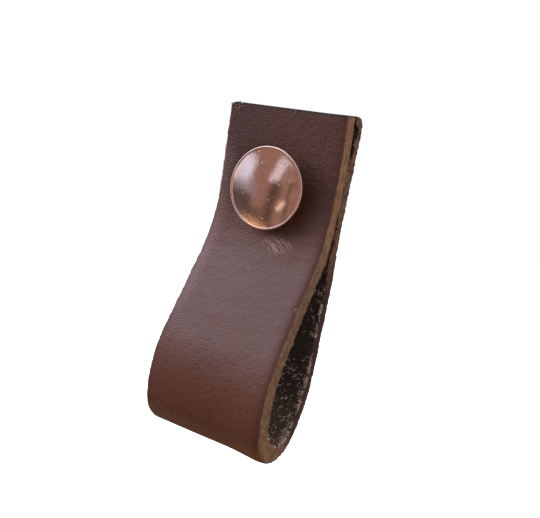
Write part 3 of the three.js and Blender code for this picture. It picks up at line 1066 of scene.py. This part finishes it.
def make_card_group():
    """Mask of a soft-edged card seen in one direction of the room."""
    nodes, takes, gives = new_group("studio_card", [
        ("Direction", VECTOR, None), ("Aim", VECTOR, None), ("Across", VECTOR, None), ("Up", VECTOR, None),
        ("Half Width", VALUE, 0.1), ("Half Height", VALUE, 0.1), ("Softness", VALUE, 0.05)], ["Card"])
    ahead, across, up = (nodes.vector("DOT_PRODUCT", takes["Direction"], takes[label])["Value"]
                         for label in ("Aim", "Across", "Up"))
    least = 0.02  # nothing is seen beside or behind the card's direction
    mask = nodes.maths("GREATER_THAN", ahead, least)
    for way, half in ((across, takes["Half Width"]), (up, takes["Half Height"])):
        off = nodes.maths("ABSOLUTE", nodes.maths("DIVIDE", way, nodes.maths("MAXIMUM", ahead, least)))
        low, high = nodes.minus(half, takes["Softness"]), nodes.plus(half, takes["Softness"])
        mask = nodes.times(mask, nodes.ease(off, low, high, 1, 0))
    nodes.fill(gives, {"Card": mask})
    return nodes.tree


# Cards as (yaw, pitch, width, height, tilt, softness) in degrees, then colour and share
CARDS = [
    (-49.5, 3.5, 17, 15, 14, 5.5, (0.85, 1.15, 1.6), 1),
    (-46, -6, 16, 8, 14, 7, (0.34, 0.42, 0.62), 0.7),
    (-22.5, 4, 7, 14, 21, 3, (0.78, 0.88, 1.12), 1),
    (-49, -14, 16, 12, 10, 5, (0.1, 0.1, 0.11), 0.95),
    (-44, -20, 20, 8, 12, 3, (0.15, 0.12, 0.12), 0.8),
    (-25.8, -14, 7, 26, 20, 5, (0.09, 0.075, 0.07), 0.88),
    (-18.5, -15, 3, 8, 38, 1.5, (1, 0.96, 0.88), 1),
    (-14.6, -15, 2.2, 28, 10, 1.4, (0.06, 0.05, 0.045), 0.7),
    (-43, -28, 24, 10, 22, 1.8, (0.82, 0.6, 0.37), 1),
    (58, -4, 26, 70, 0, 10, (1.7, 1.6, 1.6), 1),
    (-100, -10, 40, 60, 0, 12, (1.9, 1.9, 2), 1),
    (150, -16, 120, 20, 0, 8, (0.55, 0.43, 0.34), 1),
]


# Colours of the room: below and level, above, on the dim right side, and straight ahead
BELOW = (0.14, 0.09, 0.06, 1)
LEVEL = (0.7, 0.82, 0.96, 1)
ABOVE = (2.05, 2.8, 3.75, 1)
DIM_SIDE = (0.14, 0.12, 0.11, 1)
PLAIN_AHEAD = (0.33, 0.245, 0.22, 1)
WARMTH = (0.92, 0.82, 0.74, 1)  # what the room's light is multiplied by on dull surfaces


def make_world():
    world = bpy.data.worlds.new("studio")
    scene.world = world
    world.use_nodes = True
    nodes = Nodes(world.node_tree)
    nodes.tree.nodes.clear()
    direction = nodes.add("TexCoord")["Generated"]
    to_right, _, rise = nodes.add("SeparateXYZ", {0: direction})
    tent = nodes.colours(nodes.ease(rise, -0.44, 0.16), BELOW, LEVEL)
    tent = nodes.colours(nodes.ease(rise, 0.13, 0.55), tent, ABOVE)
    tent = nodes.layers(tent, [(nodes.ease(to_right, -0.38, 0.12), 0.78, DIM_SIDE)])
    ahead = nodes.vector("DOT_PRODUCT", direction, heading(-28, -10))["Value"]
    room = nodes.colours(nodes.ease(ahead, 0.74, 0.86), tent, PLAIN_AHEAD)
    group = make_card_group()
    for yaw, pitch, width, height, tilt, softness, colour, share in CARDS:
        aim = heading(yaw, pitch)
        across = aim.cross(Vector((0, 0, 1))).normalized()
        up = across.cross(aim)
        if up.z < 0:
            up = -up
        turn = radians(tilt)
        card = nodes.group(group, {
            "Direction": direction, "Aim": aim,
            "Across": across * cos(turn) + up * sin(turn),
            "Up": up * cos(turn) - across * sin(turn),
            "Half Width": tan(radians(width / 2)),
            "Half Height": tan(radians(height / 2)),
            "Softness": radians(softness) / 2})["Card"]
        room = nodes.layers(room, [(card, share, (*colour, 1))])
    rays = nodes.add("LightPath")
    room = nodes.colours(rays["Is Diffuse Ray"], room, nodes.colours(1, room, WARMTH, "MULTIPLY"))
    seen = nodes.add("Background", {"Color": (1, 1, 1, 1), "Strength": 1})[0]
    lit = nodes.add("Background", {"Color": room, "Strength": 1})[0]
    both = nodes.add("MixShader", {0: rays["Is Camera Ray"], 1: lit, 2: seen})[0]
    nodes.add("OutputWorld", {"Surface": both})


make_world()


def soft_light(name, yaw, pitch, distance, size, power, colour):
    """A square light at a heading and distance (metres) from the pull, turned to face it."""
    data = bpy.data.lights.new(name, "AREA")
    data.shape = "SQUARE"
    data.size = size
    data.energy = power
    data.color = colour
    lamp = bpy.data.objects.new(name, data)
    away = heading(yaw, pitch)
    lamp.location = away * distance
    lamp.rotation_euler = away.to_track_quat("Z", "Y").to_euler()
    lamp.visible_camera = False
    lamp.visible_glossy = False
    scene.collection.objects.link(lamp)


soft_light("key", -60, 20, 0.5, 0.17, 2.2, (1, 0.93, 0.88))
soft_light("right_fill", 80, 10, 0.6, 0.4, 0.72, (1, 0.94, 0.88))


FLOOR_HALF = 3000
FLOOR_LEVEL = -100


def make_floor():
    side, level = FLOOR_HALF, FLOOR_LEVEL
    corners = [(-side, -side, level), (side, -side, level), (side, side, level), (-side, side, level)]
    floor = make_object("floor", corners, [(0, 1, 2, 3)])
    material, nodes, shader = new_material("pale_floor", Roughness=0.9, Emission_Strength=0.75)
    shade = nodes.noise(nodes.add("TexCoord")["Object"], 3, 2)
    nodes.fill(shader, {"Base Color": nodes.colours(shade, (0.86, 0.86, 0.86, 1), (0.9, 0.9, 0.9, 1)),
                        "Emission Color": (1, 1, 1, 1)})
    floor.data.materials.append(material)
    floor.visible_glossy = False
    floor.visible_diffuse = False


make_floor()
scene.view_settings.view_transform = "Standard"

for piece, slot in ((strap, "leather"), (pale_fibres, "leather"), (dark_fibres, "leather"),
                    (head, "copper_head"), (screw, "copper_screw")):
    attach(piece, "root")
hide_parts("strap")
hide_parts("head_post")
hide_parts("back_screw")
